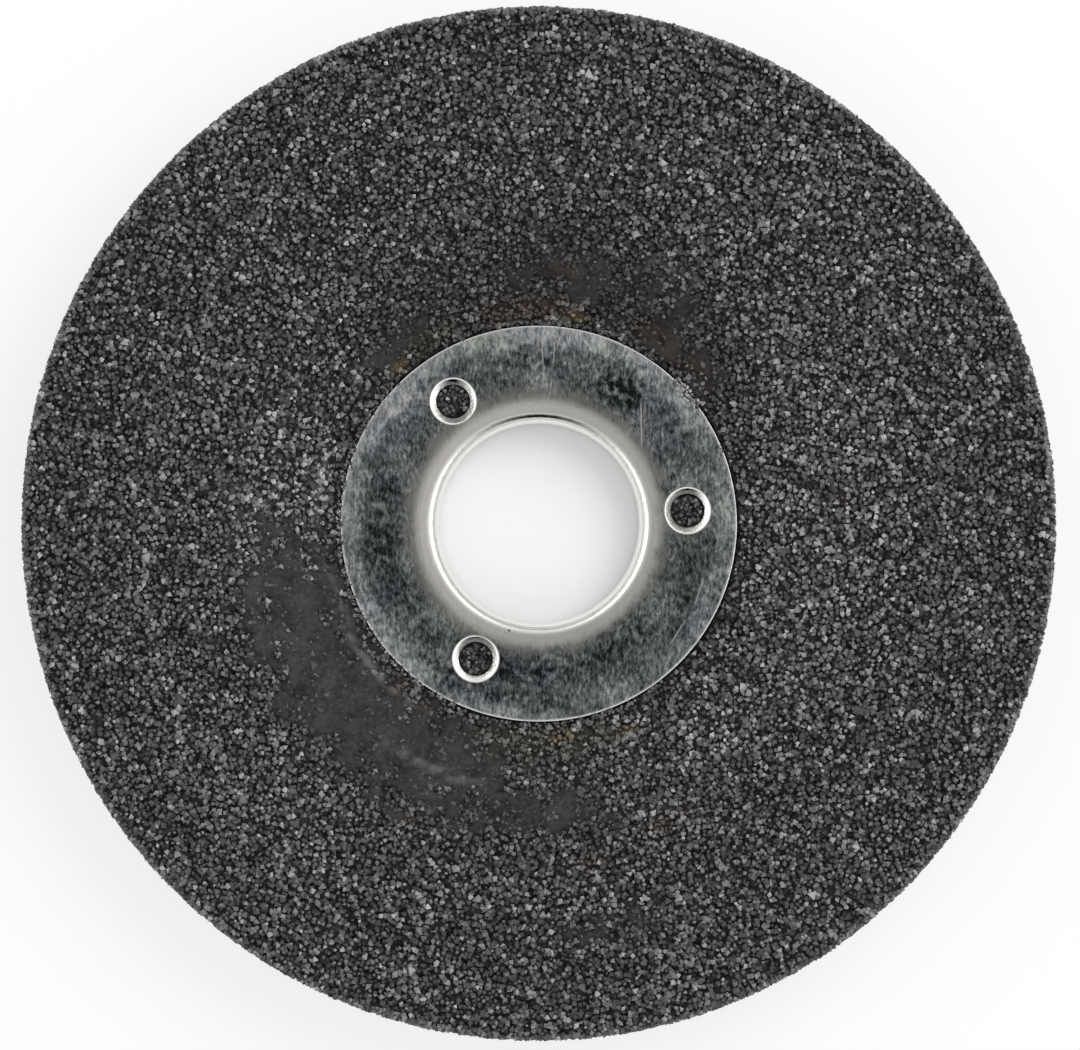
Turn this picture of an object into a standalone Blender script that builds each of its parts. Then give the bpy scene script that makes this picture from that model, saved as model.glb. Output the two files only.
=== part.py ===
"""Depressed-centre grinding disc, 115 mm by 6 mm, with a 22.23 mm bore, for Blender 4.5.

Units are metres and +Z is up. The disc lies on its raised back with the grinding face up, as it rests on
a bench. The origin is on the disc's axis, in the plane of the back. There are two pieces: the wheel,
pressed from abrasive grain and resin, and the ring of plated steel sheet that lines its bore and is keyed
into it by three holes. Both are turned from outlines in (radius, height), which share the values below.
"""

import math

import bmesh
import bpy
from mathutils import Matrix, Vector

# Wheel
DISC_D = 0.115
THICKNESS = 0.006
DEPRESSION = 0.0046  # how far the centre is set back from the grinding face
SLOPE_W = 0.0104  # radial width of the slope between the recess and the grinding face
FOOT_R = 0.005  # fillet at the foot of the slope, on the grinding side
BROW_R = 0.012  # fillet at the top of the slope, on the grinding side
RIM_R = 0.0007  # rounding of the two rim edges
BORE_EDGE_R = 0.0004

# Centre ring
BORE_D = 0.02223
SHEET = 0.0008
FLANGE_W = 0.011  # from the wall of the bore to the flange's edge
FLANGE_PROUD = 0.0003  # the flat of the flange stands this much above the recess floor
BAND_W = 0.0024  # outer band of the flange, which dips into the grain
BAND_DROP = 0.00035
BAND_BEND_R = 0.004
FUNNEL_W = 0.0027  # radial width of the funnel, from the wall of the bore to the flat of the flange
FUNNEL_SLOPE = math.radians(22)
MOUTH_R = 0.0036  # bend from the flat into the funnel, on its upper side
THROAT_R = 0.0024  # bend from the funnel down into the collar, on its upper side
COLLAR_LIFT = 0.0006  # the collar stops this far above the back
SHEAR_R = 0.0002  # rounded upper edge that the blanking punch leaves

# Keying holes in the flange
HOLE_COUNT = 3
HOLE_D = 0.0037
HOLE_EDGE_R = 0.0002  # bend from the dimple into the wall of the hole
DIMPLE_W = 0.0007  # the sheet slopes down this wide round each hole, where the punch pressed it
DIMPLE_SLOPE = math.radians(42)
DIMPLE_EDGE_R = 0.0006  # bend from the flat of the flange into that slope
FLARE = math.radians(10)  # slope at which the bend leaves the flat
FIRST_HOLE = math.radians(5)
LIP_WALL = 0.0005
LIP_DROP = 0.0007  # the drawn lip hangs this far below the sheet
PLUG_DROP = 0.0005  # the grain in a hole ends this far below the flat of the flange

# Fits
RECESS_MARGIN = 0.0025  # recess floor left free around the flange
GAP = 0.0003  # between the wheel and the ring

# Fineness of the meshes
WHEEL_STEPS = 96
RING_STEPS = 64
HOLE_STEPS = 20
CHORD_ERROR = 0.00003
COARSEST_ARC = 0.5  # chord error of the smallest fillets, as a share of their radius
SHARP_EDGE = math.radians(35)  # edges that turn more than this are shaded as edges
MERGE = 0.000001
OVERRUN = 0.001  # how far a hidden tool runs past what it cuts or joins

# Sizes that follow from the values above
BORE_RADIUS = BORE_D / 2
FLANGE_RADIUS = BORE_RADIUS + FLANGE_W
RECESS_RADIUS = FLANGE_RADIUS + RECESS_MARGIN
SLOPE_RADIUS = RECESS_RADIUS + SLOPE_W
FLANGE_TOP = THICKNESS + FLANGE_PROUD
FLANGE_UNDER = FLANGE_TOP - SHEET
HOLE_RADIUS = HOLE_D / 2
HOLE_CIRCLE_RADIUS = BORE_RADIUS + FLANGE_W / 2
LIP_RADIUS = HOLE_RADIUS + LIP_WALL
LIP_BOTTOM = FLANGE_UNDER - LIP_DROP
POCKET_FLOOR = LIP_BOTTOM - GAP


def funnel(depth):
    """Throat and mouth of the funnel, on the line that runs depth below the ring's upper side."""
    throat = BORE_RADIUS + depth
    mouth = BORE_RADIUS + FUNNEL_W + depth * math.tan(FUNNEL_SLOPE / 2)
    height = FLANGE_TOP - depth
    drop = (mouth - throat) * math.tan(FUNNEL_SLOPE)
    return (throat, height - drop, max(THROAT_R - depth, 0)), (mouth, height, max(MOUTH_R - depth, 0))


def clear_scene():
    for obj in list(bpy.data.objects):
        bpy.data.objects.remove(obj, do_unlink=True)


def shifted(items, by):
    """The same round trip, started by items later."""
    return items[by:] + items[:by]


def arc(corner, before, after, reach, turn):
    """Chords of the fillet that leaves the way before, and joins the way after, at reach from corner."""
    radius = reach / math.tan(abs(turn) / 2)
    start = corner - before.normalized() * reach
    side = math.copysign(1, turn)
    centre = start + Vector((-before.y, before.x)).normalized() * radius * side
    spoke = start - centre
    widest = 2 * math.acos(1 - min(CHORD_ERROR / radius, COARSEST_ARC))
    chords = math.ceil(abs(turn) / widest)
    return [centre + Matrix.Rotation(turn * k / chords, 2) @ spoke for k in range(chords + 1)]


def rounded(corners):
    """Closed outline through corners (radius, height, fillet). A short wall limits its fillets."""
    points = [Vector((radius, height)) for radius, height, _ in corners]
    after = [there - here for here, there in zip(points, shifted(points, 1))]
    before = shifted(after, -1)
    turns = [math.atan2(a.cross(b), a.dot(b)) for a, b in zip(before, after)]
    wanted = [fillet * math.tan(abs(turn) / 2) for (_, _, fillet), turn in zip(corners, turns)]
    room = [
        min(1, way.length / max(here + there, MERGE))
        for way, here, there in zip(after, wanted, shifted(wanted, 1))
    ]
    reaches = [reach * min(pair) for reach, *pair in zip(wanted, room, shifted(room, -1))]
    outline = []
    for corner, reach, way_in, way_out, turn in zip(points, reaches, before, after, turns):
        outline += arc(corner, way_in, way_out, reach, turn) if reach > MERGE else [corner]
    return outline


def add_turned(bm, outline, steps, place=None):
    """Adds the solid that the outline sweeps in one turn about Z, moved by the matrix place."""
    ring = [bm.verts.new((radius, 0, height)) for radius, height in outline]
    edges = [
        bm.edges.new((here, there))
        for here, there in zip(ring, shifted(ring, 1))
        if max(here.co.x, there.co.x) > MERGE
    ]
    old = set(bm.verts) - set(ring)
    bmesh.ops.spin(
        bm, geom=ring + edges, axis=(0, 0, 1), cent=(0, 0, 0), angle=math.tau, steps=steps, use_merge=True
    )
    new = [vert for vert in bm.verts if vert not in old]
    bmesh.ops.remove_doubles(bm, verts=new, dist=MERGE)
    if place:
        bmesh.ops.transform(bm, matrix=place, verts=[vert for vert in bm.verts if vert not in old])


def finished(name, bm):
    """Object from the bmesh, with its faces out and its round sides shaded smooth."""
    bmesh.ops.recalc_face_normals(bm, faces=bm.faces)
    mesh = bpy.data.meshes.new(name)
    bm.to_mesh(mesh)
    bm.free()
    mesh.shade_smooth()
    mesh.set_sharp_from_angle(angle=SHARP_EDGE)
    obj = bpy.data.objects.new(name, mesh)
    bpy.context.collection.objects.link(obj)
    return obj


def turned_piece(name, outline, steps):
    bm = bmesh.new()
    add_turned(bm, outline, steps)
    return finished(name, bm)


def hole_tool(name, outline):
    """Hidden tool: the outline turned about the axis of each keying hole."""
    bm = bmesh.new()
    for k in range(HOLE_COUNT):
        angle = FIRST_HOLE + math.tau * k / HOLE_COUNT
        place = Matrix.Rotation(angle, 4, "Z") @ Matrix.Translation((HOLE_CIRCLE_RADIUS, 0, 0))
        add_turned(bm, outline, HOLE_STEPS, place)
    tool = finished(name, bm)
    tool.hide_render = True
    tool.display_type = "WIRE"
    return tool


def cylinder(radius, low, high):
    return [Vector(point) for point in ((0, low), (radius, low), (radius, high), (0, high))]


def combine(obj, tool, operation):
    modifier = obj.modifiers.new(tool.name, "BOOLEAN")
    modifier.operation = operation
    modifier.solver = "EXACT"
    modifier.object = tool


def material(name, colour, metallic, roughness):
    made = bpy.data.materials.new(name)
    made.use_nodes = True
    shader = made.node_tree.nodes["Principled BSDF"]
    shader.inputs["Base Color"].default_value = (*colour, 1)
    shader.inputs["Metallic"].default_value = metallic
    shader.inputs["Roughness"].default_value = roughness
    made.diffuse_color = (*colour, 1)
    return made


def make_abrasive_wheel():
    """The pressed wheel. Its slope is as thick as the rest, so its back is the front's outline, offset."""
    turn = math.atan2(DEPRESSION, SLOPE_W)
    shift = THICKNESS * math.tan(turn / 2)
    rim = DISC_D / 2
    face = THICKNESS + DEPRESSION
    seat = FLANGE_UNDER - GAP
    throat, mouth = funnel(SHEET + GAP)
    outline = rounded(
        [
            (throat[0], 0, BORE_EDGE_R),
            (RECESS_RADIUS + shift, 0, FOOT_R + THICKNESS),
            (SLOPE_RADIUS + shift, DEPRESSION, max(BROW_R - THICKNESS, 0)),
            (rim, DEPRESSION, RIM_R),
            (rim, face, RIM_R),
            (SLOPE_RADIUS, face, BROW_R),
            (RECESS_RADIUS, THICKNESS, FOOT_R),
            (FLANGE_RADIUS + GAP, THICKNESS, 0),
            (FLANGE_RADIUS + GAP, seat - BAND_DROP, 0),
            (FLANGE_RADIUS - BAND_W, seat, 0),
            mouth,
            throat,
        ]
    )
    wheel = turned_piece("abrasive_wheel", outline, WHEEL_STEPS)
    pocket = cylinder(LIP_RADIUS + GAP, POCKET_FLOOR, FLANGE_UNDER + OVERRUN)
    plug = cylinder(HOLE_RADIUS - GAP, POCKET_FLOOR - OVERRUN, FLANGE_TOP - PLUG_DROP)
    combine(wheel, hole_tool("lip_pockets", pocket), "DIFFERENCE")
    combine(wheel, hole_tool("grain_plugs", plug), "UNION")
    wheel.data.materials.append(material("black_grain", (0.05, 0.05, 0.052), 0, 0.6))


def make_centre_ring():
    """The stamped ring: a flange whose outer band dips, a shallow funnel, and a collar in the bore."""
    throat, mouth = funnel(0)
    throat_under, mouth_under = funnel(SHEET)
    outline = rounded(
        [
            (BORE_RADIUS, COLLAR_LIFT, 0),
            (BORE_RADIUS + SHEET, COLLAR_LIFT, 0),
            throat_under,
            mouth_under,
            (FLANGE_RADIUS - BAND_W, FLANGE_UNDER, BAND_BEND_R),
            (FLANGE_RADIUS, FLANGE_UNDER - BAND_DROP, 0),
            (FLANGE_RADIUS, FLANGE_TOP - BAND_DROP, SHEAR_R),
            (FLANGE_RADIUS - BAND_W, FLANGE_TOP, BAND_BEND_R),
            mouth,
            throat,
        ]
    )
    ring = turned_piece("centre_ring", outline, RING_STEPS)
    lip = cylinder(LIP_RADIUS, LIP_BOTTOM, FLANGE_TOP - SHEET / 2)
    dimple = HOLE_RADIUS + DIMPLE_W
    above = FLANGE_TOP + OVERRUN * math.tan(FLARE)
    below = LIP_BOTTOM - OVERRUN
    pierced = rounded(
        [
            (0, below, 0),
            (HOLE_RADIUS, below, 0),
            (HOLE_RADIUS, FLANGE_TOP - DIMPLE_W * math.tan(DIMPLE_SLOPE), HOLE_EDGE_R),
            (dimple, FLANGE_TOP, DIMPLE_EDGE_R),
            (dimple + OVERRUN, above, 0),
            (0, above, 0),
        ]
    )
    combine(ring, hole_tool("drawn_lips", lip), "UNION")
    combine(ring, hole_tool("pierced_holes", pierced), "DIFFERENCE")
    ring.data.materials.append(material("plated_steel", (0.62, 0.63, 0.62), 1, 0.35))


clear_scene()
make_abrasive_wheel()
make_centre_ring()
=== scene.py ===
"""Looks of a depressed-centre grinding disc, for Blender 4.5.

Shapes are worked out in millimetres as arrays of points, and put into meshes in metres. Two outlines in
(radius, height) give the wheel and the ring, the same that the solids are turned from, and grains of grit are
scattered over the wheel's outline. Angles run anticlockwise from +X, seen from above.
"""

import math

import bpy
import numpy as np
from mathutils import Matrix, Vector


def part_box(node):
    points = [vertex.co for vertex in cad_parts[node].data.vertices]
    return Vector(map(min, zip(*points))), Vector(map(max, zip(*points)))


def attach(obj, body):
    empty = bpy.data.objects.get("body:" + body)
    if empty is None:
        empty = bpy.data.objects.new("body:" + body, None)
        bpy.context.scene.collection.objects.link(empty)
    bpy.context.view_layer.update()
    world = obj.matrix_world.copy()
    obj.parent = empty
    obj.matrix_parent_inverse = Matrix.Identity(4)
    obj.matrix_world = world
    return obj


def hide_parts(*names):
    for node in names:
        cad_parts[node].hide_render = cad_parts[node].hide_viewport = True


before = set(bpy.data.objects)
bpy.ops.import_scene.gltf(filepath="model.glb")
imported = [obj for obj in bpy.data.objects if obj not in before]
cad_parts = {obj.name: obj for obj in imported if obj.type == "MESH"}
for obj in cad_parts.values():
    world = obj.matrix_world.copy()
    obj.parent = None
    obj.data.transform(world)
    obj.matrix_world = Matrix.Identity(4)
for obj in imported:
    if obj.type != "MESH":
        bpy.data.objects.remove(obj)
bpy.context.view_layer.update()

MM = 0.001
TURN = 2 * math.pi

# Outer sizes, from the frame
_, wheel_high = (np.array(corner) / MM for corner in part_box("abrasive_wheel"))
ring_low, ring_high = (np.array(corner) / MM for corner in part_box("centre_ring"))
RIM_RADIUS = wheel_high[0]
FACE = wheel_high[2]
FLANGE_RADIUS = ring_high[0]
FLANGE_TOP = ring_high[2]
COLLAR_LIFT = ring_low[2]

# Wheel, in mm
THICKNESS = 6.0
SLOPE_W = 10.4
FOOT_R = 5.0
BROW_R = 12.0
RIM_R = 0.7
BORE_EDGE_R = 0.4
RECESS_MARGIN = 2.5
GAP = 0.3
SEAM = 0.1  # between the flange's edge and the grain, which all but touches it

# Ring, in mm
BORE_RADIUS = 11.115
SHEET = 0.8
BAND_W = 2.4
BAND_DROP = 0.35
BAND_BEND_R = 4.0
FUNNEL_W = 2.7
FUNNEL_SLOPE = math.radians(22)
MOUTH_R = 3.6
THROAT_R = 2.4
SHEAR_R = 0.2

# Keying holes in the ring
HOLE_ANGLES = (5, 125, 245)
HOLE_CIRCLE_RADIUS = (BORE_RADIUS + FLANGE_RADIUS) / 2
HOLE_RADIUS = 1.85
HOLE_EDGE_R = 0.2
DIMPLE_W = 0.7
DIMPLE_SLOPE = math.radians(42)
DIMPLE_EDGE_R = 0.6
FLARE = math.radians(10)
LIP_RADIUS = 2.35
LIP_BOTTOM = FLANGE_TOP - SHEET - 0.7
PLUG_DROP = 0.5

# Grit, in mm
GRIT_SPACING = 0.5
GRIT_SIZE = 0.37  # middle half width of a grain
PIT_DEPTH = 0.46  # from the tops of the grains down to the resin between them
SKIN_DEPTH = 0.1  # the same where a skin of resin covers the grains
BARE_SHARE = 0.07  # places where a grain has broken out
CLUMP_WIDTH = 2.1
SPLIT_RADIUS = 45.0  # where the grains of the face and of the back are split into two pieces

# Radii between which one finish of the ring turns into the next, in mm
THROAT_SHINE = (11.9, 12.5)
FUNNEL_FADE = (13.4, 15.6)
WARP_START = (13.5, 15.5)  # the sheet's slight waves start here too
BAND_FADE = (19.5, 20.5)
EDGE_SHINE = (FLANGE_RADIUS - 0.25, FLANGE_RADIUS - 0.15)
# Side towards which the band is painted paler and the plain funnel widens: a painted sheen of the light there
SHEEN_SIDE = math.radians(125)  # where the plain funnel is widest and the pale band strongest

# Input sockets of a mix of two colours, and of two numbers
SHARE, FIRST, SECOND = 0, 6, 7
LOW, HIGH = 2, 3

# Marks on the upper side: kind, angle in degrees, radius, half length along the arc, half width, strength
MARKS = (
    ("skin", 222, 29.0, 23.0, 6.4, 1.0),
    ("skin", 196, 25.5, 8.0, 3.0, 0.75),
    ("skin", 266, 31.5, 10.0, 3.4, 0.7),
    ("skin", 85, 27.4, 6.0, 3.4, 0.72),
    ("skin", 62, 28.6, 5.0, 2.8, 0.6),
    ("skin", 48, 25.0, 6.0, 2.2, 0.7),
    ("skin", 128, 25.1, 6.0, 2.4, 0.62),
    ("skin", 279, 45.0, 6.0, 3.0, 0.5),
    # Darker grains on the slopes towards +Y and -Y: partly dark patches, partly painted shade there
    ("dark", 84, 29.0, 14.0, 5.5, 0.8),
    ("dark", 55, 27.0, 10.0, 4.0, 0.7),
    ("dark", 110, 27.0, 10.0, 4.0, 0.5),
    ("dark", 240, 34.0, 18.0, 3.6, 0.5),
    ("dark", 270, 33.0, 12.0, 4.0, 0.5),
    # Paler grains on the side slopes and two patches further out: partly wear, partly a painted sheen
    ("wear_and_sheen", 180, 28.5, 13.0, 5.5, 1.0),
    ("wear_and_sheen", 2, 31.0, 19.0, 8.0, 0.7),
    ("wear_and_sheen", 318, 29.0, 10.0, 6.0, 0.45),
    ("wear_and_sheen", 225, 43.0, 14.0, 6.0, 0.3),
    ("wear_and_sheen", 45, 46.0, 16.0, 7.0, 0.3),
    # Raised ridges at the foot of the slope, drawn lighter: partly lighter resin, partly a painted highlight
    ("ridge", 171, 24.7, 3.6, 0.5, 1.0),
    ("ridge", 200, 23.9, 4.0, 0.4, 0.6),
    ("ridge", 220, 24.5, 7.0, 0.45, 0.9),
    ("ridge", 246, 29.6, 5.6, 0.5, 0.8),
    ("ridge", 62, 31.6, 3.0, 0.5, 0.8),
    ("rust", 101.8, 22.9, 0.8, 0.5, 0.9),
    ("rust", 93, 24.2, 5.6, 1.1, 0.6),
    ("rust", 85, 28.2, 2.4, 1.6, 0.3),
    ("rust", 52, 24.6, 6.4, 1.3, 0.4),
    ("rust", 233, 24.0, 3.2, 1.2, 0.35),
    ("rust", 293, 36.2, 3.0, 1.0, 0.4),
    ("rust", 279, 38.1, 2.0, 0.9, 0.4),
    ("rust", 247, 36.0, 1.4, 0.9, 0.3),
    ("rust", 4, 34.2, 1.6, 1.0, 0.25),
    ("olive", 120.5, 24.0, 3.6, 1.4, 0.6),
    ("olive", 272, 24.6, 9.4, 2.2, 0.6),
    ("gold", 276.4, 23.9, 1.4, 0.5, 0.6),
    ("gold", 293, 24.9, 1.2, 0.5, 0.5),
    ("gold", 80, 23.4, 1.6, 0.5, 0.4),
    ("gold", 132, 23.4, 1.1, 0.6, 0.4),
    ("stain", 59, 17.2, 2.6, 2.0, 1.0),
    ("stain", 95, 18.0, 4.6, 0.9, 0.5),
    ("stain", 33, 18.4, 2.4, 1.2, 0.5),
    ("stain", 180, 17.4, 6.0, 1.6, 0.5),
    ("stain", 215, 17.8, 6.0, 1.4, 0.5),
    ("stain", 266, 16.8, 8.0, 1.6, 0.6),
    ("stain", 250, 19.6, 10.0, 1.1, 0.5),
    ("stain", 305, 16.6, 4.0, 1.3, 0.5),
    ("stain", 338, 18.4, 3.0, 1.2, 0.5),
)

# Scratches on the ring: place (x, y), angle in degrees, half length, half width, in mm
SCRATCHES = (
    (11.4, 11.0, 91, 2.9, 0.1),
    (0.4, 19.3, 93, 1.9, 0.08),
    (1.7, 19.1, 86, 1.6, 0.08),
    (17.9, -7.4, 72, 1.7, 0.08),
    (15.4, -12.2, 58, 1.6, 0.08),
)

# Crumbs of grain on the flange's edge: middle angle and half width in degrees, radius and its spread, count,
# shade
CRUMBS = (
    (41, 5.5, 21.9, 0.6, 160, 0.7),
    (22.5, 1.2, 22.1, 0.2, 7, 0.2),
    (84, 30, 22.4, 0.25, 210, 0.35),
    (160, 26, 22.25, 0.3, 230, 0.5),
    (215, 30, 22.25, 0.3, 260, 0.55),
    (282, 26, 22.4, 0.2, 120, 0.4),
)
FLECKS = ((69.4, 22.15, 0.3, 1.0), (254.5, 12.35, 0.2, 0.0))  # angle, radius, size, shade


def colour(code):
    """Linear RGBA of an sRGB hex value."""
    shown = np.array([int(code[k : k + 2], 16) for k in (1, 3, 5)]) / 255
    linear = np.where(shown <= 0.04045, shown / 12.92, ((shown + 0.055) / 1.055) ** 2.4)
    return (*linear.tolist(), 1.0)


def smooth_step(low, high, values):
    """0 below low, 1 above high, and 3 s^2 - 2 s^3 of the share s between them."""
    share = np.clip((values - low) / (high - low), 0, 1)
    return share * share * (3 - 2 * share)


def rounded(corners, arc_points=7):
    """Closed outline through corners (radius, height, fillet), anticlockwise.

    A fillet is the arc about its centre that starts where it touches the way in and turns by the corner's
    angle. Its ends lie fillet * tan(angle / 2) from the corner.
    """
    corners = np.array(corners, float)
    points = corners[:, :2]
    ways = np.roll(points, -1, 0) - points
    ways /= np.linalg.norm(ways, axis=1, keepdims=True)
    pieces = []
    for point, fillet, way, after in zip(points, corners[:, 2], np.roll(ways, 1, 0), ways):
        turn = math.atan2(way[0] * after[1] - way[1] * after[0], way @ after)
        side = math.copysign(1, turn)
        spoke = np.array((way[1], -way[0])) * fillet * side
        centre = point - way * fillet * math.tan(abs(turn) / 2) - spoke
        steps = turn * np.linspace(0, 1, arc_points if fillet else 1)[:, None]
        across = np.array((-spoke[1], spoke[0]))
        pieces.append(centre + spoke * np.cos(steps) + across * np.sin(steps))
    return np.concatenate(pieces)


class Outline:
    """A closed outline that is read by the length along it, in mm."""

    def __init__(self, corners):
        points = rounded(corners)
        self.points = np.vstack((points, points[:1]))
        steps = np.linalg.norm(np.diff(self.points, axis=0), axis=1)
        self.lengths = np.concatenate(((0,), np.cumsum(steps)))
        self.total = self.lengths[-1]

    def at(self, along):
        """(radius, height) at each length."""
        along = np.mod(along, self.total)
        return np.stack([np.interp(along, self.lengths, self.points[:, k]) for k in (0, 1)], -1)

    def out(self, along):
        """Outward direction at each length: the way of a short chord, turned by a right angle."""
        chord = self.at(along + 0.05) - self.at(along - 0.05)
        chord /= np.linalg.norm(chord, axis=-1, keepdims=True)
        return np.stack((chord[..., 1], -chord[..., 0]), -1)

    def reach(self, radius, upper):
        """Length at which the lower or the upper side passes the radius."""
        edge = int(np.argmax(self.points[:, 0]))
        part = slice(edge, None) if upper else slice(0, edge + 1)
        step = -1 if upper else 1
        return float(np.interp(radius, self.points[part, 0][::step], self.lengths[part][::step]))

    def stations(self, start, end, spacing):
        """Lengths from start to end, one spacing apart, with the outline's own corners among them."""
        even = np.linspace(start, end, max(2, round((end - start) / spacing) + 1))
        corners = self.lengths[(self.lengths > start) & (self.lengths < end)]
        return np.unique(np.round(np.concatenate((even, corners)), 3))


def turned(profile, angles):
    """Points of the profile (radius, height) at each angle: (r cos a, r sin a, z)."""
    radius, height, angles = np.broadcast_arrays(profile[..., 0], profile[..., 1], angles)
    return np.stack((radius * np.cos(angles), radius * np.sin(angles), height), -1)


def ripples(points, width, seed, waves=36):
    """Random field of unit strength: cosines along random directions, about width mm long, added up."""
    rng = np.random.default_rng(seed)
    ways = rng.normal(size=(waves, 3))
    ways *= TURN / width / np.linalg.norm(ways, axis=1, keepdims=True)
    ways *= rng.uniform(0.6, 1.5, (waves, 1))
    starts = rng.uniform(0, TURN, waves)
    total = np.zeros(points.shape[:-1])
    for way, start in zip(ways, starts):
        total += np.cos(points @ way + start)
    return total / math.sqrt(waves / 2)


def marked(kind, points):
    """Weight 0 to 1 of the marks of one kind: bell curves along and across their arcs, on the upper side."""
    radius = np.hypot(points[..., 0], points[..., 1])
    angle = np.arctan2(points[..., 1], points[..., 0])
    weight = np.zeros(points.shape[:-1])
    for _, at, middle, half_length, half_width, strength in (mark for mark in MARKS if mark[0] == kind):
        round_way = np.mod(angle - math.radians(at) + math.pi, TURN) - math.pi
        bell = (round_way * middle / half_length) ** 4 + ((radius - middle) / half_width) ** 2
        weight = np.maximum(weight, strength * np.exp(-bell))
    return weight * (points[..., 2] > THICKNESS - 1.5)


def roughened(points):
    """Uneven field of unit strength that frays the marks' edges: fine and broad ripples in equal parts."""
    return (ripples(points, 1.3, seed=5) + ripples(points, 4.0, seed=6)) / math.sqrt(2)


def skin_at(points):
    """How far a skin of resin covers the grains, 0 to 1: the skin marks with frayed edges."""
    return 0.9 * smooth_step(0.2, 0.85, marked("skin", points) + 0.2 * roughened(points))


def put_mesh(name, points, faces, material, smooth=True, corner_map=None, **values):
    """Object at the origin, from points in mm and rows of corner numbers, with values kept as attributes."""
    mesh = bpy.data.meshes.new(name)
    mesh.vertices.add(len(points))
    mesh.vertices.foreach_set("co", (points * MM).astype(np.float32).ravel())
    mesh.loops.add(faces.size)
    mesh.loops.foreach_set("vertex_index", faces.astype(np.int32).ravel())
    mesh.polygons.add(len(faces))
    mesh.polygons.foreach_set("loop_start", np.arange(0, faces.size, faces.shape[1], dtype=np.int32))
    for key, numbers in values.items():
        held = mesh.attributes.new(key, "FLOAT", "POINT")
        held.data.foreach_set("value", numbers.astype(np.float32).ravel())
    if corner_map is not None:
        mesh.uv_layers.new(name="OFBake").data.foreach_set("uv", corner_map.astype(np.float32).ravel())
    mesh.update(calc_edges=True)
    if smooth:
        mesh.shade_smooth()
        mesh.set_sharp_from_angle(angle=math.radians(40))
    else:
        mesh.shade_flat()
    mesh.materials.append(material)
    piece = bpy.data.objects.new(name, mesh)
    bpy.context.scene.collection.objects.link(piece)
    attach(piece, "root")
    return piece


def grid_faces(columns, rows):
    """Four-cornered faces of a closed grid whose points run row by row inside each column."""
    column, row = np.meshgrid(np.arange(columns), np.arange(rows), indexing="ij")
    beside, above = (column + 1) % columns, (row + 1) % rows
    corners = (column * rows + row, beside * rows + row, beside * rows + above, column * rows + above)
    return np.stack(corners, -1)


def grid_map(columns, rows):
    """Flat map of that grid: column by row, both as shares of one."""
    column, row = np.meshgrid(np.arange(columns), np.arange(rows), indexing="ij")
    corners = ((column, row), (column + 1, row), (column + 1, row + 1), (column, row + 1))
    return np.stack([np.stack((across / columns, up / rows), -1) for across, up in corners], -2)


def node(tree, kind, inputs=None, **settings):
    """Adds a shader node with its settings. An input is a value, or the socket or node that feeds it."""
    made = tree.nodes.new(kind)
    for key, value in settings.items():
        setattr(made, key, value)
    for key, value in (inputs or {}).items():
        if isinstance(value, bpy.types.Node):
            value = next(socket for socket in value.outputs if socket.enabled)
        if isinstance(value, bpy.types.NodeSocket):
            tree.links.new(value, made.inputs[key])
        else:
            made.inputs[key].default_value = value
    return made


def new_material(name):
    """Empty material, and the tree to fill."""
    material = bpy.data.materials.new(name)
    material.use_nodes = True
    material.node_tree.nodes.clear()
    return material, material.node_tree


def make_grit_material():
    """Crushed black silicon carbide and brown corundum, bonded in phenolic resin.

    Broken grains are near black, glassy faces glint, and some are grey where resin came off, partly a painted
    sheen.
    """
    material, tree = new_material("black_grain")
    read = {
        key: node(tree, "ShaderNodeAttribute", attribute_name=key).outputs["Fac"]
        for key in ("shade", "gloss", "rust", "olive", "gold")
    }
    ramp = node(tree, "ShaderNodeValToRGB", {"Fac": read["shade"]})
    ramp.color_ramp.elements[0].color = colour("#1a1a1a")
    ramp.color_ramp.elements[1].color = colour("#acadad")
    ramp.color_ramp.elements.new(0.4).color = colour("#404040")
    ramp.color_ramp.elements.new(0.75).color = colour("#7c7c7c")
    base = ramp
    for key, tint in (("rust", "#5a4334"), ("olive", "#504c3e"), ("gold", "#9b8352")):
        blend = {SHARE: read[key], FIRST: base, SECOND: colour(tint)}
        base = node(tree, "ShaderNodeMix", blend, data_type="RGBA")
    rough = node(tree, "ShaderNodeMapRange", {"Value": read["gloss"], "To Min": 0.7, "To Max": 0.28})
    shader = node(tree, "ShaderNodeBsdfPrincipled", {"Base Color": base, "Roughness": rough, "IOR": 1.75})
    node(tree, "ShaderNodeOutputMaterial", {"Surface": shader})
    return material


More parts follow.
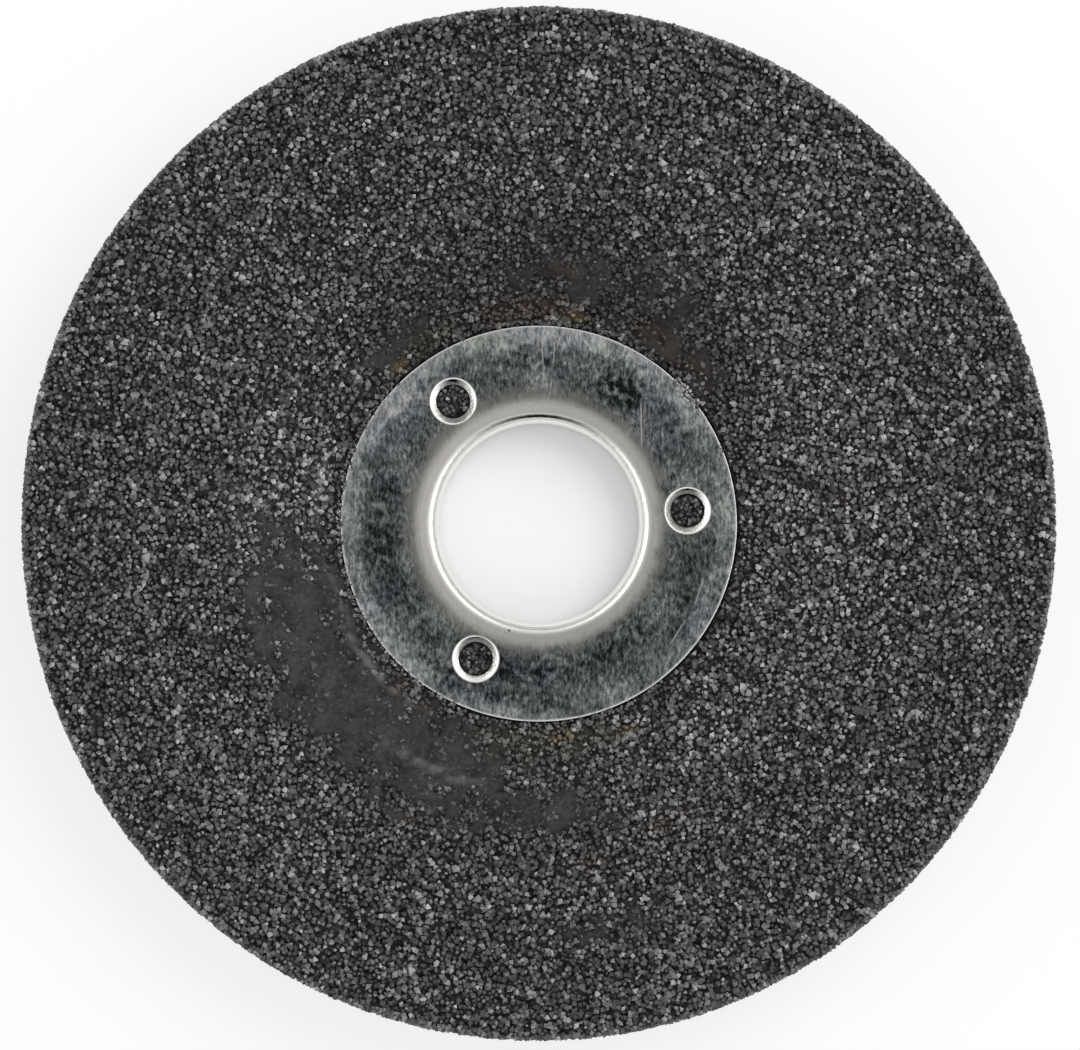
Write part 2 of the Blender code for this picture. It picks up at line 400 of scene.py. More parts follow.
def make_resin_material():
    """Cured phenolic resin: black in the pits between the grains, and dark grey and satin where it lies as a
    skin."""
    material, tree = new_material("cured_resin")
    read = {
        key: node(tree, "ShaderNodeAttribute", attribute_name=key).outputs["Fac"]
        for key in ("skin", "rust", "olive", "gold", "ridge")
    }
    where = node(tree, "ShaderNodeTexCoord").outputs["Object"]
    cloudy = {"Vector": where, "Scale": 300.0, "Detail": 6.0, "Roughness": 0.68}  # smears about 3 mm wide
    specked = {"Vector": where, "Scale": 1900.0, "Detail": 4.0, "Roughness": 0.65}  # specks about 0.5 mm wide
    cloud = node(tree, "ShaderNodeTexNoise", cloudy)
    fine = node(tree, "ShaderNodeTexNoise", specked)
    smear = node(tree, "ShaderNodeMapRange", {"Value": cloud, "From Min": 0.36, "From Max": 0.66})
    speck = node(tree, "ShaderNodeMapRange", {"Value": fine, "From Min": 0.42, "From Max": 0.6})
    smear = node(tree, "ShaderNodeMath", {0: speck, 1: 0.5, 2: smear}, operation="MULTIPLY_ADD")
    smear = node(tree, "ShaderNodeMath", {0: smear, 1: 0.67}, operation="MULTIPLY")
    skin_tones = {SHARE: smear, FIRST: colour("#1c1c1d"), SECOND: colour("#434343")}
    skin = node(tree, "ShaderNodeMix", skin_tones, data_type="RGBA")
    pit_tones = {SHARE: speck, FIRST: colour("#020202"), SECOND: colour("#2e2e2e")}
    pit = node(tree, "ShaderNodeMix", pit_tones, data_type="RGBA")
    base = node(tree, "ShaderNodeMix", {SHARE: read["skin"], FIRST: pit, SECOND: skin}, data_type="RGBA")
    # The ridge tint is partly a painted highlight along the ridges.
    for key, tint in (("ridge", "#636361"), ("rust", "#38291f"), ("olive", "#302d23"), ("gold", "#6f5930")):
        blend = {SHARE: read[key], FIRST: base, SECOND: colour(tint)}
        base = node(tree, "ShaderNodeMix", blend, data_type="RGBA")
    rough = node(tree, "ShaderNodeMapRange", {"Value": fine, "From Min": 0.3, "To Min": 0.42, "To Max": 0.72})
    bump = node(tree, "ShaderNodeBump", {"Height": fine, "Strength": 0.8, "Distance": 0.0002})
    shader = node(
        tree,
        "ShaderNodeBsdfPrincipled",
        {"Base Color": base, "Roughness": rough, "Normal": bump, "Specular IOR Level": 0.14},
    )
    node(tree, "ShaderNodeOutputMaterial", {"Surface": shader})
    return material


def add_scratches(tree, where):
    """Socket that is 1 in a scratch and 0 off it: each is the box |x| < half length, |y| < half width, turned
    and moved to its place."""
    total = 0.0
    for x, y, angle, half_length, half_width in SCRATCHES:
        inside = node(
            tree,
            "ShaderNodeMapping",
            {
                "Vector": where,
                "Location": (x * MM, y * MM, 0),
                "Rotation": (0, 0, math.radians(angle)),
                "Scale": (half_length * MM, half_width * MM, 1),
            },
            vector_type="TEXTURE",
        )
        parts = node(tree, "ShaderNodeSeparateXYZ", {0: inside})
        x_part, y_part = parts.outputs["X"], parts.outputs["Y"]
        along = node(tree, "ShaderNodeMath", {0: x_part, 1: x_part}, operation="MULTIPLY")
        across = node(tree, "ShaderNodeMath", {0: y_part, 1: y_part}, operation="MULTIPLY")
        away = node(tree, "ShaderNodeMath", {0: along, 1: across}, operation="MAXIMUM")
        line = node(tree, "ShaderNodeMapRange", {"Value": away, "From Min": 1.0, "From Max": 0.4})
        total = node(tree, "ShaderNodeMath", {0: total, 1: line}, operation="MAXIMUM")
    return total


def make_plating_material():
    """Zinc-plated mild steel sheet, rolled along Y and stamped: semi-bright, mottled by its spangle, stained
    and scratched. Dull spots scatter the side light and look pale, and bright ones mirror the dark overhead.
    Rubbed metal, in the throat, on the dimples and along the sheared edge, is clean and bright."""
    material, tree = new_material("zinc_plated_steel")
    where = node(tree, "ShaderNodeTexCoord").outputs["Object"]
    read = {
        key: node(tree, "ShaderNodeAttribute", attribute_name=key).outputs["Fac"]
        for key in ("flat", "band", "stain", "rubbed")
    }
    rolled = node(tree, "ShaderNodeMapping", {"Vector": where, "Scale": (2.4, 1.0, 1.0)})
    mottled = {"Vector": rolled, "Scale": 1250.0, "Detail": 4.0, "Roughness": 0.75}  # spots about 0.8 mm long
    blotched = {"Vector": where, "Scale": 210.0, "Detail": 5.0, "Roughness": 0.7}  # blotches about 5 mm wide
    mottle = node(tree, "ShaderNodeTexNoise", mottled)
    blotch = node(tree, "ShaderNodeTexNoise", blotched)
    tint = node(tree, "ShaderNodeTexNoise", {"Vector": where, "Scale": 120.0, "Detail": 2.0})
    tone = node(tree, "ShaderNodeMath", {0: blotch, 1: 0.6, 2: mottle}, operation="MULTIPLY_ADD")
    # The band's paleness is a painted sheen on the dipped outer band; stains darken the tone.
    for key, weight in (("stain", -0.3), ("band", 0.09)):
        tone = node(tree, "ShaderNodeMath", {0: read[key], 1: weight, 2: tone}, operation="MULTIPLY_ADD")
    tone = node(tree, "ShaderNodeMapRange", {"Value": tone, "From Min": 0.58, "From Max": 1.08})
    ramp = node(tree, "ShaderNodeValToRGB", {"Fac": tone})
    ramp.color_ramp.elements[0].color = colour("#303436")
    ramp.color_ramp.elements[1].color = colour("#dcdcd8")
    ramp.color_ramp.elements.new(0.45).color = colour("#8a8e8e")
    tint = node(tree, "ShaderNodeMapRange", {"Value": tint, "From Min": 0.42, "From Max": 0.6})
    casts = {SHARE: tint, FIRST: colour("#f8f9ff"), SECOND: colour("#f9fffb")}
    cast = node(tree, "ShaderNodeMix", casts, data_type="RGBA")
    both = {SHARE: 1.0, FIRST: ramp, SECOND: cast}
    wear_and_sheen = node(tree, "ShaderNodeMix", both, data_type="RGBA", blend_type="MULTIPLY")
    plain = {SHARE: read["flat"], FIRST: colour("#b2afa9"), SECOND: wear_and_sheen}
    base = node(tree, "ShaderNodeMix", plain, data_type="RGBA")
    dull = node(tree, "ShaderNodeMapRange", {"Value": tone, "To Min": 0.18, "To Max": 0.52})
    rough = node(tree, "ShaderNodeMix", {SHARE: read["flat"], LOW: 0.32, HIGH: dull})
    scratch = add_scratches(tree, where)
    for share, metal, level in ((scratch, "#c4c4c0", 0.45), (read["rubbed"], "#f2f1ee", 0.12)):
        blend = {SHARE: share, FIRST: base, SECOND: colour(metal)}
        base = node(tree, "ShaderNodeMix", blend, data_type="RGBA")
        rough = node(tree, "ShaderNodeMix", {SHARE: share, LOW: rough, HIGH: level})
    bump = node(tree, "ShaderNodeBump", {"Height": tone, "Strength": 0.3, "Distance": 0.00005})
    shader = node(
        tree,
        "ShaderNodeBsdfPrincipled",
        {"Base Color": base, "Metallic": 1.0, "Roughness": rough, "Normal": bump},
    )
    node(tree, "ShaderNodeOutputMaterial", {"Surface": shader})
    return material


def make_floor_material():
    """White board. Seen by the camera or in the metal, it glows by a share that rises from 0.1 at the bore to
    0.75 at the rim and past it. The rest is matt, so the disc's soft shadow stays, darkest in the bore."""
    material, tree = new_material("white_board")
    path = node(tree, "ShaderNodeLightPath")
    seen = node(
        tree,
        "ShaderNodeMath",
        {0: path.outputs["Is Camera Ray"], 1: path.outputs["Is Glossy Ray"]},
        operation="MAXIMUM",
    )
    seen = node(
        tree, "ShaderNodeMath", {0: seen, 1: path.outputs["Is Transmission Ray"]}, operation="MAXIMUM"
    )
    where = node(tree, "ShaderNodeTexCoord").outputs["Object"]
    away = node(tree, "ShaderNodeVectorMath", {0: where}, operation="LENGTH").outputs["Value"]
    glow_share = node(
        tree,
        "ShaderNodeMapRange",
        {
            "Value": away,
            "From Min": BORE_RADIUS * MM,
            "From Max": RIM_RADIUS * MM,
            "To Min": 0.1,
            "To Max": 0.75,
        },
    )
    share = node(tree, "ShaderNodeMath", {0: seen, 1: glow_share}, operation="MULTIPLY")
    board = node(tree, "ShaderNodeBsdfDiffuse", {"Color": colour("#f8f8f8")})
    glow = node(tree, "ShaderNodeEmission", {"Color": colour("#ffffff"), "Strength": 1.0})
    blend = node(tree, "ShaderNodeMixShader", {0: share, 1: board, 2: glow})
    node(tree, "ShaderNodeOutputMaterial", {"Surface": blend})
    return material


def funnel(depth):
    """Throat and mouth of the funnel, on the line that runs depth below the ring's upper side."""
    throat = BORE_RADIUS + depth
    mouth = BORE_RADIUS + FUNNEL_W + depth * math.tan(FUNNEL_SLOPE / 2)
    height = FLANGE_TOP - depth
    drop = (mouth - throat) * math.tan(FUNNEL_SLOPE)
    return (throat, height - drop, max(THROAT_R - depth, 0)), (mouth, height, max(MOUTH_R - depth, 0))


def wheel_outline():
    """Outline of the pressed wheel, whose back is its front, offset by the thickness."""
    depression = FACE - THICKNESS
    recess = FLANGE_RADIUS + RECESS_MARGIN
    slope = recess + SLOPE_W
    shift = THICKNESS * math.tan(math.atan2(depression, SLOPE_W) / 2)
    seat = FLANGE_TOP - SHEET - GAP
    throat, mouth = funnel(SHEET + GAP)
    return Outline(
        [
            (throat[0], 0, BORE_EDGE_R),
            (recess + shift, 0, FOOT_R + THICKNESS),
            (slope + shift, depression, BROW_R - THICKNESS),
            (RIM_RADIUS, depression, RIM_R),
            (RIM_RADIUS, FACE, RIM_R),
            (slope, FACE, BROW_R),
            (recess, THICKNESS, FOOT_R),
            (FLANGE_RADIUS + SEAM, THICKNESS, 0),
            (FLANGE_RADIUS + SEAM, seat - BAND_DROP, 0),
            (FLANGE_RADIUS - BAND_W, seat, 0),
            mouth,
            throat,
        ]
    )


def make_body(outline, material):
    """Resin body: the outline turned on a grid of angle by length, sunk to the foot of the grains.

    Its offset from the grains' tops is the pit depth, less where a skin of resin covers the grains, with
    random ripples added. Rows lie 1.5 mm apart on the back, 0.48 on the rim and the upper side, and 2 in the
    seat, which the ring hides.
    """
    columns = 500
    seam = outline.reach(FLANGE_RADIUS + SEAM + 0.01, upper=True)
    rim = outline.reach(RIM_RADIUS - RIM_R, upper=False)
    along = np.unique(
        np.concatenate(
            (
                outline.stations(0, rim, 1.5),
                outline.stations(rim, seam, 0.48),
                outline.stations(seam, outline.total, 2.0)[:-1],
            )
        )
    )
    rows = len(along)
    angles = np.arange(columns)[:, None] / columns * TURN
    surface = turned(outline.at(along)[None], angles)
    ways = turned(outline.out(along)[None], angles)
    rough = roughened(surface)
    skin = skin_at(surface)
    # The ridges are raised, and they lighten the resin, partly as a painted highlight.
    ridge = marked("ridge", surface) * smooth_step(-1.2, 0.6, ripples(surface, 1.6, seed=7))
    sunk = PIT_DEPTH + (SKIN_DEPTH - PIT_DEPTH) * skin
    lift = 0.04 * ripples(surface, 2.2, seed=9) + 0.12 * ridge - sunk
    points = surface + ways * (lift * (along < seam))[..., None]
    values = {key: marked(key, surface) * smooth_step(-1.5, 1.0, rough) for key in ("rust", "olive", "gold")}
    return put_mesh(
        "resin_body",
        points.reshape(-1, 3),
        grid_faces(columns, rows).reshape(-1, 4),
        material,
        corner_map=grid_map(columns, rows),
        skin=skin,
        ridge=ridge,
        **values,
    )


def scattered(outline, start, end, rng):
    """Lengths and angles of the grains: rows one spacing apart, each with as many as its circle holds, and
    every grain moved at random in its own cell."""
    rows = np.arange(start, end, GRIT_SPACING)
    count = np.maximum(1, np.round(TURN * outline.at(rows)[:, 0] / GRIT_SPACING)).astype(int)
    row = np.repeat(np.arange(len(rows)), count)
    place = np.arange(count.sum()) - np.repeat(np.cumsum(count) - count, count)
    angle = (place + rng.uniform(0, 1, len(place))) / count[row] * TURN
    along = rows[row] + rng.uniform(0, GRIT_SPACING, len(place))
    kept = rng.uniform(0, 1, len(place)) > BARE_SHARE
    return along[kept], angle[kept]


def quaternion_turns(count, rng):
    """Rotation matrices of random unit quaternions."""
    w, x, y, z = rng.normal(size=(4, count))
    size = np.sqrt(w * w + x * x + y * y + z * z)
    w, x, y, z = w / size, x / size, y / size, z / size
    rows = (
        (1 - 2 * (y * y + z * z), 2 * (x * y - w * z), 2 * (x * z + w * y)),
        (2 * (x * y + w * z), 1 - 2 * (x * x + z * z), 2 * (y * z - w * x)),
        (2 * (x * z - w * y), 2 * (y * z + w * x), 1 - 2 * (x * x + y * y)),
    )
    return np.stack([np.stack(row, -1) for row in rows], -2)


def put_grains(name, places, ways, tops, sizes, rng, material, **values):
    """Grit: a broken octahedron at each place.

    Its six corners lie at random lengths along the arms of a cross that a random quaternion turns, and it is
    slid along its way out until its highest corner stands at its own height over the place.
    """
    count = len(places)
    cross = np.array([(1, 0, 0), (0, 1, 0), (-1, 0, 0), (0, -1, 0), (0, 0, 1), (0, 0, -1)])
    arms = cross[None] * rng.uniform(0.7, 1.25, (count, 6, 1)) * sizes[:, None, None]
    corners = np.einsum("nij,nkj->nki", quaternion_turns(count, rng), arms)
    highest = np.einsum("nki,ni->nk", corners, ways).max(1)
    points = corners + (places + ways * (tops - highest)[:, None])[:, None]
    upper = [(0, 1, 4), (1, 2, 4), (2, 3, 4), (3, 0, 4)]
    lower = [(1, 0, 5), (2, 1, 5), (3, 2, 5), (0, 3, 5)]
    faces = (np.array(upper + lower)[None] + 6 * np.arange(count)[:, None, None]).reshape(-1, 3)
    side = math.ceil(math.sqrt(count))
    cells = np.stack(np.divmod(np.arange(count), side), -1)
    places_in_map = ((cells[:, None] + 0.5 + 0.4 * cross[None, :, :2]) / side).reshape(-1, 2)
    spread = {key: np.repeat(numbers, 6) for key, numbers in values.items()}
    return put_mesh(
        name, points.reshape(-1, 3), faces, material, False, corner_map=places_in_map[faces], **spread
    )


def make_grains(name, outline, start, end, seed, material, proud=0.03):
    """Grit over one stretch of the wheel's outline. The grains' tops lie level, as the press left them, apart
    from clumps that stand a little lower, and a skin of resin drowns the grains under it."""
    rng = np.random.default_rng(seed)
    along, angle = scattered(outline, start, end, rng)
    places = turned(outline.at(along), angle)
    ways = turned(outline.out(along), angle)
    count = len(along)
    clump = ripples(places, CLUMP_WIDTH, seed=8)
    skin = skin_at(places)
    ridge = marked("ridge", places)
    sizes = GRIT_SIZE * rng.lognormal(0, 0.24, count)
    tops = proud - rng.gamma(1.6, 0.06, count) + 0.05 * np.minimum(clump, 0)
    tops -= skin * rng.uniform(0, 0.22, count)
    # Ridges lighten the grains, partly as a painted highlight.
    shade = rng.beta(1.6, 2.3, count) + 0.06 * clump + 0.3 * ridge
    # Paler grains on the side slopes are partly a painted sheen, and darker ones towards +Y and -Y partly
    # painted shade.
    shade += 0.2 * marked("wear_and_sheen", places) - 0.22 * marked("dark", places)
    tints = {key: marked(key, places) * rng.uniform(0.1, 1, count) for key in ("rust", "olive", "gold")}
    return put_grains(
        name,
        places,
        ways,
        tops,
        sizes,
        rng,
        material,
        shade=np.clip(shade * (1 - 0.5 * skin), 0, 1),
        gloss=rng.uniform(0, 1, count) ** 2,
        **tints,
    )


def ring_outline():
    """Outline of the stamped ring: flange with a dipped band, shallow funnel, collar in the bore."""
    throat, mouth = funnel(0)
    throat_under, mouth_under = funnel(SHEET)
    under = FLANGE_TOP - SHEET
    return Outline(
        [
            (BORE_RADIUS, COLLAR_LIFT, 0),
            (BORE_RADIUS + SHEET, COLLAR_LIFT, 0),
            throat_under,
            mouth_under,
            (FLANGE_RADIUS - BAND_W, under, BAND_BEND_R),
            (FLANGE_RADIUS, under - BAND_DROP, 0),
            (FLANGE_RADIUS, FLANGE_TOP - BAND_DROP, SHEAR_R),
            (FLANGE_RADIUS - BAND_W, FLANGE_TOP, BAND_BEND_R),
            mouth,
            throat,
        ]
    )


def ring_outline_top():
    """Radii and heights of the ring's upper side, and past it of the recess floor."""
    points = ring_outline().points
    edge = int(np.argmax(points[:, 0]))
    radii, heights = points[edge:][::-1].T
    return np.append(radii, FLANGE_RADIUS + SEAM), np.append(heights, THICKNESS - 0.05)


def dimple_profile():
    """(distance, height) from the edge of a hole's dimple down its slope, the wall and the drawn lip."""
    edge = HOLE_RADIUS + DIMPLE_W
    corners = [
        (0, LIP_BOTTOM, 0),
        (HOLE_RADIUS, LIP_BOTTOM, 0),
        (HOLE_RADIUS, FLANGE_TOP - DIMPLE_W * math.tan(DIMPLE_SLOPE), HOLE_EDGE_R),
        (edge, FLANGE_TOP, DIMPLE_EDGE_R),
        (edge + 1, FLANGE_TOP + math.tan(FLARE), 0),
        (0, FLANGE_TOP + math.tan(FLARE), 0),
    ]
    return np.vstack((rounded(corners)[1:-2][::-1], (LIP_RADIUS, LIP_BOTTOM)))


def loop_round(centre, spokes, distance, side, height=math.inf):
    """Loop of points round a hole, a distance out along each spoke: on that side of the sheet, or at the
    height where that is lower."""
    place = centre + spokes * np.broadcast_to(distance, len(spokes))[:, None]
    surface = np.interp(np.hypot(*place.T), *side)
    return np.column_stack((place, np.minimum(surface, height)))


def hole_tube(centre, spokes, reach, top, under):
    """Loops through a hole, from the border of its patch on the upper side, which lies reach away along the
    spokes, to the border underneath: down the dimple and the wall, round the drawn lip and back under the
    sheet."""
    profile = dimple_profile()
    start = profile[0, 0]
    loops = [loop_round(centre, spokes, reach + (start - reach) * share, top) for share in (0.35, 0.7, 0.9)]
    loops += [loop_round(centre, spokes, distance, top, height) for distance, height in profile]
    loops += [
        loop_round(centre, spokes, LIP_RADIUS, under),
        loop_round(centre, spokes, (LIP_RADIUS + reach) / 2, under),
    ]
    return np.array(loops)


def make_ring(material):
    """Plated ring: the outline turned in one-degree columns. Round each hole a patch of the grid is left out,
    on both sides of the sheet, and a tube of loops joins its two borders through the hole."""
    outline = ring_outline()
    columns, half_patch, patch_rows = 360, 12, 23
    inner, outer = 13.2, 20.0
    under_in, under_out = (outline.reach(radius, upper=False) for radius in (inner, outer))
    top_out, top_in = (outline.reach(radius, upper=True) for radius in (outer, inner))
    parts = (
        outline.stations(0, under_in, 0.9),
        np.linspace(under_in, under_out, patch_rows + 1),
        outline.stations(under_out, top_out, 0.25),
        np.linspace(top_out, top_in, patch_rows + 1),
        outline.stations(top_in, outline.total, 0.2)[:-1],
    )
    along = np.unique(np.round(np.concatenate(parts), 3))
    rows = len(along)
    under_row = int(np.argmin(abs(along - under_in)))
    top_row = int(np.argmin(abs(along - top_in)))
    angles = np.arange(columns)[:, None] / columns * TURN
    grid = turned(outline.at(along)[None], angles).reshape(-1, 3)
    edge = int(np.argmax(outline.points[:, 0]))
    under = outline.points[: edge + 1].T
    top = outline.points[edge:][::-1].T

    across = np.arange(-half_patch, half_patch)
    upward = np.arange(patch_rows)
    column_step = np.concatenate(
        (across, np.full(patch_rows, half_patch), -across, np.full(patch_rows, -half_patch))
    )
    row_step = np.concatenate(
        (np.zeros(len(across), int), upward, np.full(len(across), patch_rows), patch_rows - upward)
    )
    kept = np.ones((columns, rows), bool)
    points, face_list, used = [grid], [], len(grid)
    dimples = np.zeros(0)
    for hole in HOLE_ANGLES:
        first = hole * columns // 360
        patch = (first + across) % columns
        kept[patch[:, None], top_row - 1 - upward[None]] = False
        kept[patch[:, None], under_row + upward[None]] = False
        column = (first + column_step) % columns
        top_border = column * rows + top_row - row_step
        under_border = column * rows + under_row + row_step
        centre = HOLE_CIRCLE_RADIUS * np.array((math.cos(math.radians(hole)), math.sin(math.radians(hole))))
        spokes = grid[top_border, :2] - centre
        reach = np.linalg.norm(spokes, axis=1)
        spokes /= reach[:, None]
        tube = hole_tube(centre, spokes, reach, top, under)
        inside = used + np.arange(tube.shape[0] * tube.shape[1]).reshape(tube.shape[:2])
        loops = np.vstack((top_border[None], inside, under_border[None]))
        beside = np.roll(loops, -1, 1)
        points.append(tube.reshape(-1, 3))
        face_list.append(np.stack((loops[:-1], loops[1:], beside[1:], beside[:-1]), -1).reshape(-1, 4))
        used += inside.size
        dimples = np.append(dimples, np.repeat(np.arange(len(tube)) > 3, tube.shape[1]))

    points = np.concatenate(points)
    faces = np.concatenate([grid_faces(columns, rows)[kept]] + face_list)
    radius = np.hypot(points[:, 0], points[:, 1])
    ragged = 0.35 * ripples(points, 2.4, seed=21)
    # Towards the sheen side the plain funnel reaches further and the dipped band is painted paler: a painted
    # sheen.
    sheen_lean = np.cos(np.arctan2(points[:, 1], points[:, 0]) - SHEEN_SIDE)
    wear_and_sheen = 0.12 + 0.88 * smooth_step(*FUNNEL_FADE, radius + 0.8 * ragged - 0.45 * sheen_lean)
    wear_and_sheen[len(grid) :] *= 1 - 0.9 * dimples
    band = smooth_step(*BAND_FADE, radius + 1.2 * ragged) * (0.75 + 0.75 * sheen_lean)
    rubbed = 1 - smooth_step(*THROAT_SHINE, radius) + smooth_step(*EDGE_SHINE, radius)
    rubbed[len(grid) :] = dimples
    points[:, 2] += 0.012 * ripples(points, 5.0, seed=22) * smooth_step(*WARP_START, radius)
    stain = marked("stain", points) * smooth_step(-1.0, 0.6, ripples(points, 1.1, seed=23))
    ring = put_mesh("plated_ring", points, faces, material, flat=wear_and_sheen, band=band, stain=stain, rubbed=rubbed)
    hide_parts("centre_ring")
    return ring


def make_plugs(resin, grit):
    """Grain pressed up through the ring's holes: three low domes, z = top - d (radius / R)^2, with grit laid
    out on a sunflower's spiral, radius R sqrt(n / N) and angle n times the golden share of a turn."""
    rng = np.random.default_rng(31)
    rows, columns, count, golden = 8, 40, 44, 0.381966
    top = FLANGE_TOP - PLUG_DROP
    share = np.linspace(0.02, 1, rows)
    radius = np.concatenate((share, (1.0, 0.02))) * (HOLE_RADIUS - 0.02)
    height = np.concatenate((top - 0.25 - 0.12 * share**2, np.full(2, LIP_BOTTOM - 0.25)))
    angles = np.arange(columns)[:, None] / columns * TURN
    dome = turned(np.stack((radius, height), -1)[None, ::-1], angles)
    faces = grid_faces(columns, dome.shape[1]).reshape(-1, 4)
    points, face_list, places = [], [], []
    for number, hole in enumerate(HOLE_ANGLES):
        way = np.array((math.cos(math.radians(hole)), math.sin(math.radians(hole)), 0))
        points.append(dome.reshape(-1, 3) + way * HOLE_CIRCLE_RADIUS)
        face_list.append(faces + number * dome.shape[0] * dome.shape[1])
        reach = np.sqrt((np.arange(count) + 0.5) / count) * (HOLE_RADIUS - 0.24)
        turn = np.arange(count) * TURN * golden + rng.uniform(-0.2, 0.2, count)
        places.append(turned(np.stack((reach, np.full(count, top)), -1), turn) + way * HOLE_CIRCLE_RADIUS)
    points, faces, places = (np.concatenate(part) for part in (points, face_list, places))
    blank = np.zeros(len(points))
    body = put_mesh(
        "plug_bodies", points, faces, resin, skin=blank, ridge=blank, rust=blank, olive=blank, gold=blank
    )
    total = len(places)
    blank = np.zeros(total)
    grains = put_grains(
        "plug_grains",
        places,
        np.tile((0.0, 0.0, 1.0), (total, 1)),
        -rng.gamma(1.6, 0.07, total),
        GRIT_SIZE * 0.8 * rng.lognormal(0, 0.18, total),
        rng,
        grit,
        shade=rng.beta(1.5, 2.6, total),
        gloss=rng.uniform(0, 1, total) ** 2,
        rust=blank,
        olive=blank,
        gold=blank,
    )
    return body, grains


def make_crumbs(grit):
    """Crumbs of grain stuck to the flange's edge and over it, each row strewn at random over its arc."""
    rng = np.random.default_rng(41)
    rows = []
    for middle, half_width, radius, spread, count, shade in CRUMBS:
        angle = middle + half_width * rng.uniform(-1, 1, count)
        reach = radius + spread * rng.uniform(-1, 1, count)
        size = 0.17 * rng.lognormal(0, 0.3, count)
        rows.append(np.column_stack((angle, reach, size, rng.beta(2, 2, count) * 2 * shade)))
    angle, reach, size, shade = np.concatenate((*rows, FLECKS)).T
    on_ring = np.interp(reach, *ring_outline_top())
    places = turned(np.stack((reach, on_ring), -1), np.radians(angle))
    total = len(places)
    return put_grains(
        "edge_crumbs",
        places,
        np.tile((0.0, 0.0, 1.0), (total, 1)),
        size * 0.7,
        size,
        rng,
        grit,
        shade=np.clip(shade, 0, 1),
        gloss=rng.uniform(0, 1, total) ** 2,
        rust=0.6 * marked("rust", places),
        olive=0.6 * marked("olive", places),
        gold=0.6 * marked("gold", places),
    )


def make_wheel(resin, grit):
    """The wheel: resin body, grit in five stretches round the outline, the plugs in the ring's holes, and the
    crumbs at its flange."""
    outline = wheel_outline()
    recess = outline.reach(FLANGE_RADIUS + SEAM + 0.2, upper=True)
    middle = outline.reach(SPLIT_RADIUS, upper=True)
    brow = outline.reach(RIM_RADIUS - 0.3, upper=True)
    skirt = outline.reach(RIM_RADIUS - 0.3, upper=False)
    back_middle = outline.reach(SPLIT_RADIUS, upper=False)
    pieces = [
        make_body(outline, resin),
        make_grains("face_grains_outer", outline, brow, middle, 11, grit),
        make_grains("face_grains_inner", outline, middle, recess, 12, grit),
        make_grains("rim_grains", outline, skirt, brow, 13, grit),
        make_grains("back_grains_outer", outline, back_middle, skirt, 14, grit),
        make_grains("back_grains_inner", outline, 0.45, back_middle, 15, grit, proud=0.0),
        make_crumbs(grit),
        *make_plugs(resin, grit),
    ]
    for piece in pieces:
        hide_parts("abrasive_wheel")


def make_floor():
    """White board under the disc, and the only thing besides it that the camera sees."""
    half = 1500.0
    points = np.array([(-half, -half, 0), (half, -half, 0), (half, half, 0), (-half, half, 0)])
    mesh = bpy.data.meshes.new("floor")
    mesh.from_pydata((points * MM).tolist(), [], [(0, 1, 2, 3)])
    mesh.materials.append(make_floor_material())
    floor = bpy.data.objects.new("floor", mesh)
    bpy.context.scene.collection.objects.link(floor)


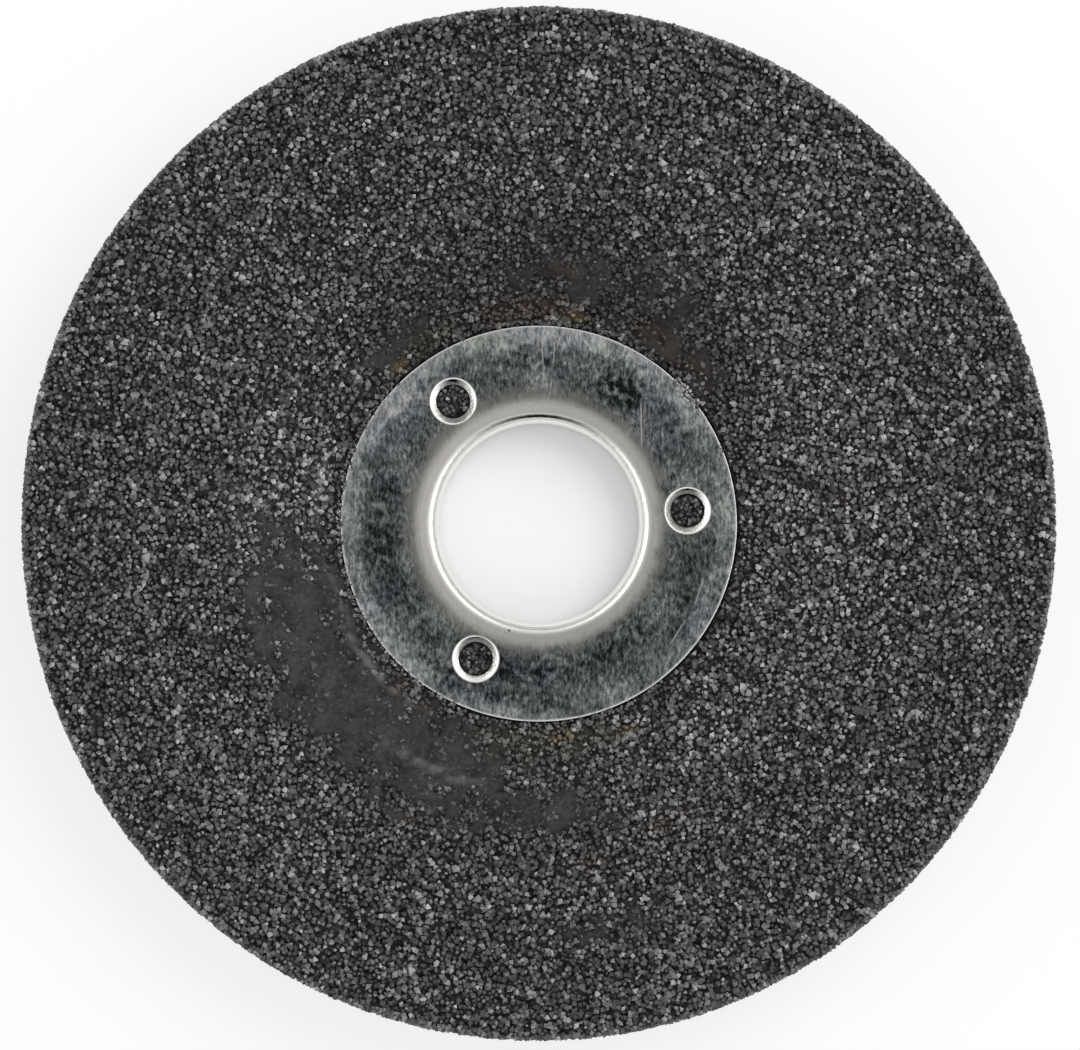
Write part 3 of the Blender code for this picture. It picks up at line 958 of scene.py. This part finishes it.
def light_world():
    """Light tent. The direction (x, y, z) gives its level: 0.22 overhead, where the camera's port is,
    0.92 + 0.16 x - 0.17 y round that, and 0.4 + 0.5 y + 2.1 x^2 near the horizon."""
    world = bpy.data.worlds.new("light_tent")
    bpy.context.scene.world = world
    world.use_nodes = True
    tree = world.node_tree
    tree.nodes.clear()
    parts = node(tree, "ShaderNodeSeparateXYZ", {0: node(tree, "ShaderNodeTexCoord").outputs["Generated"]})
    x, y, z = (parts.outputs[key] for key in ("X", "Y", "Z"))
    middle = node(tree, "ShaderNodeMath", {0: x, 1: 0.16, 2: 0.92}, operation="MULTIPLY_ADD")
    middle = node(tree, "ShaderNodeMath", {0: y, 1: -0.17, 2: middle}, operation="MULTIPLY_ADD")
    sides = node(tree, "ShaderNodeMath", {0: x, 1: x}, operation="MULTIPLY")
    low = node(tree, "ShaderNodeMath", {0: sides, 1: 2.1, 2: 0.4}, operation="MULTIPLY_ADD")
    low = node(tree, "ShaderNodeMath", {0: y, 1: 0.5, 2: low}, operation="MULTIPLY_ADD")
    horizon = node(tree, "ShaderNodeMapRange", {"Value": z, "From Min": 0.55, "From Max": 0.25})
    level = node(tree, "ShaderNodeMix", {SHARE: horizon, LOW: middle, HIGH: low})
    port = node(tree, "ShaderNodeMapRange", {"Value": z, "From Min": 0.8, "From Max": 0.96})
    level = node(tree, "ShaderNodeMix", {SHARE: port, LOW: level, HIGH: 0.22})
    sky = node(tree, "ShaderNodeBackground", {"Strength": level})
    sky.inputs["Color"].default_value = (1, 1, 1, 1)
    node(tree, "ShaderNodeOutputWorld", {"Surface": sky})


def add_lamp(name, angle, elevation, distance, size, power):
    """Square soft box that looks at the disc from angle and elevation in degrees, distance in m. It is kept
    out of the metal's reflections, where the tent alone shows."""
    light = bpy.data.lights.new(name, "AREA")
    light.shape = "SQUARE"
    light.size, light.energy = size, power
    lamp = bpy.data.objects.new(name, light)
    bpy.context.scene.collection.objects.link(lamp)
    a, e = math.radians(angle), math.radians(elevation)
    lamp.location = (
        distance * math.cos(e) * math.cos(a),
        distance * math.cos(e) * math.sin(a),
        distance * math.sin(e),
    )
    lamp.rotation_euler = (math.pi / 2 - e, 0, a + math.pi / 2)
    lamp.visible_glossy = False


def add_camera():
    """Looks straight down from 1.2 m above the face, where the 1080 by 1050 pixels are 119.77 mm wide."""
    distance, frame_width, sensor = 1.2, 0.11977, 36.0
    data = bpy.data.cameras.new("camera")
    data.sensor_fit = "HORIZONTAL"
    data.sensor_width = sensor
    data.lens = sensor * distance / frame_width
    camera = bpy.data.objects.new("camera", data)
    camera.location = (0.000133, -0.000155, FACE * MM + distance)
    bpy.context.scene.collection.objects.link(camera)
    bpy.context.scene.camera = camera


grit = make_grit_material()
resin = make_resin_material()
make_wheel(resin, grit)
make_ring(make_plating_material())
make_floor()
light_world()
add_lamp("soft_box", 40, 45, 1.0, 0.7, 4.5)
add_camera()

bpy.context.scene.view_settings.view_transform = "Standard"
bpy.context.view_layer.update()
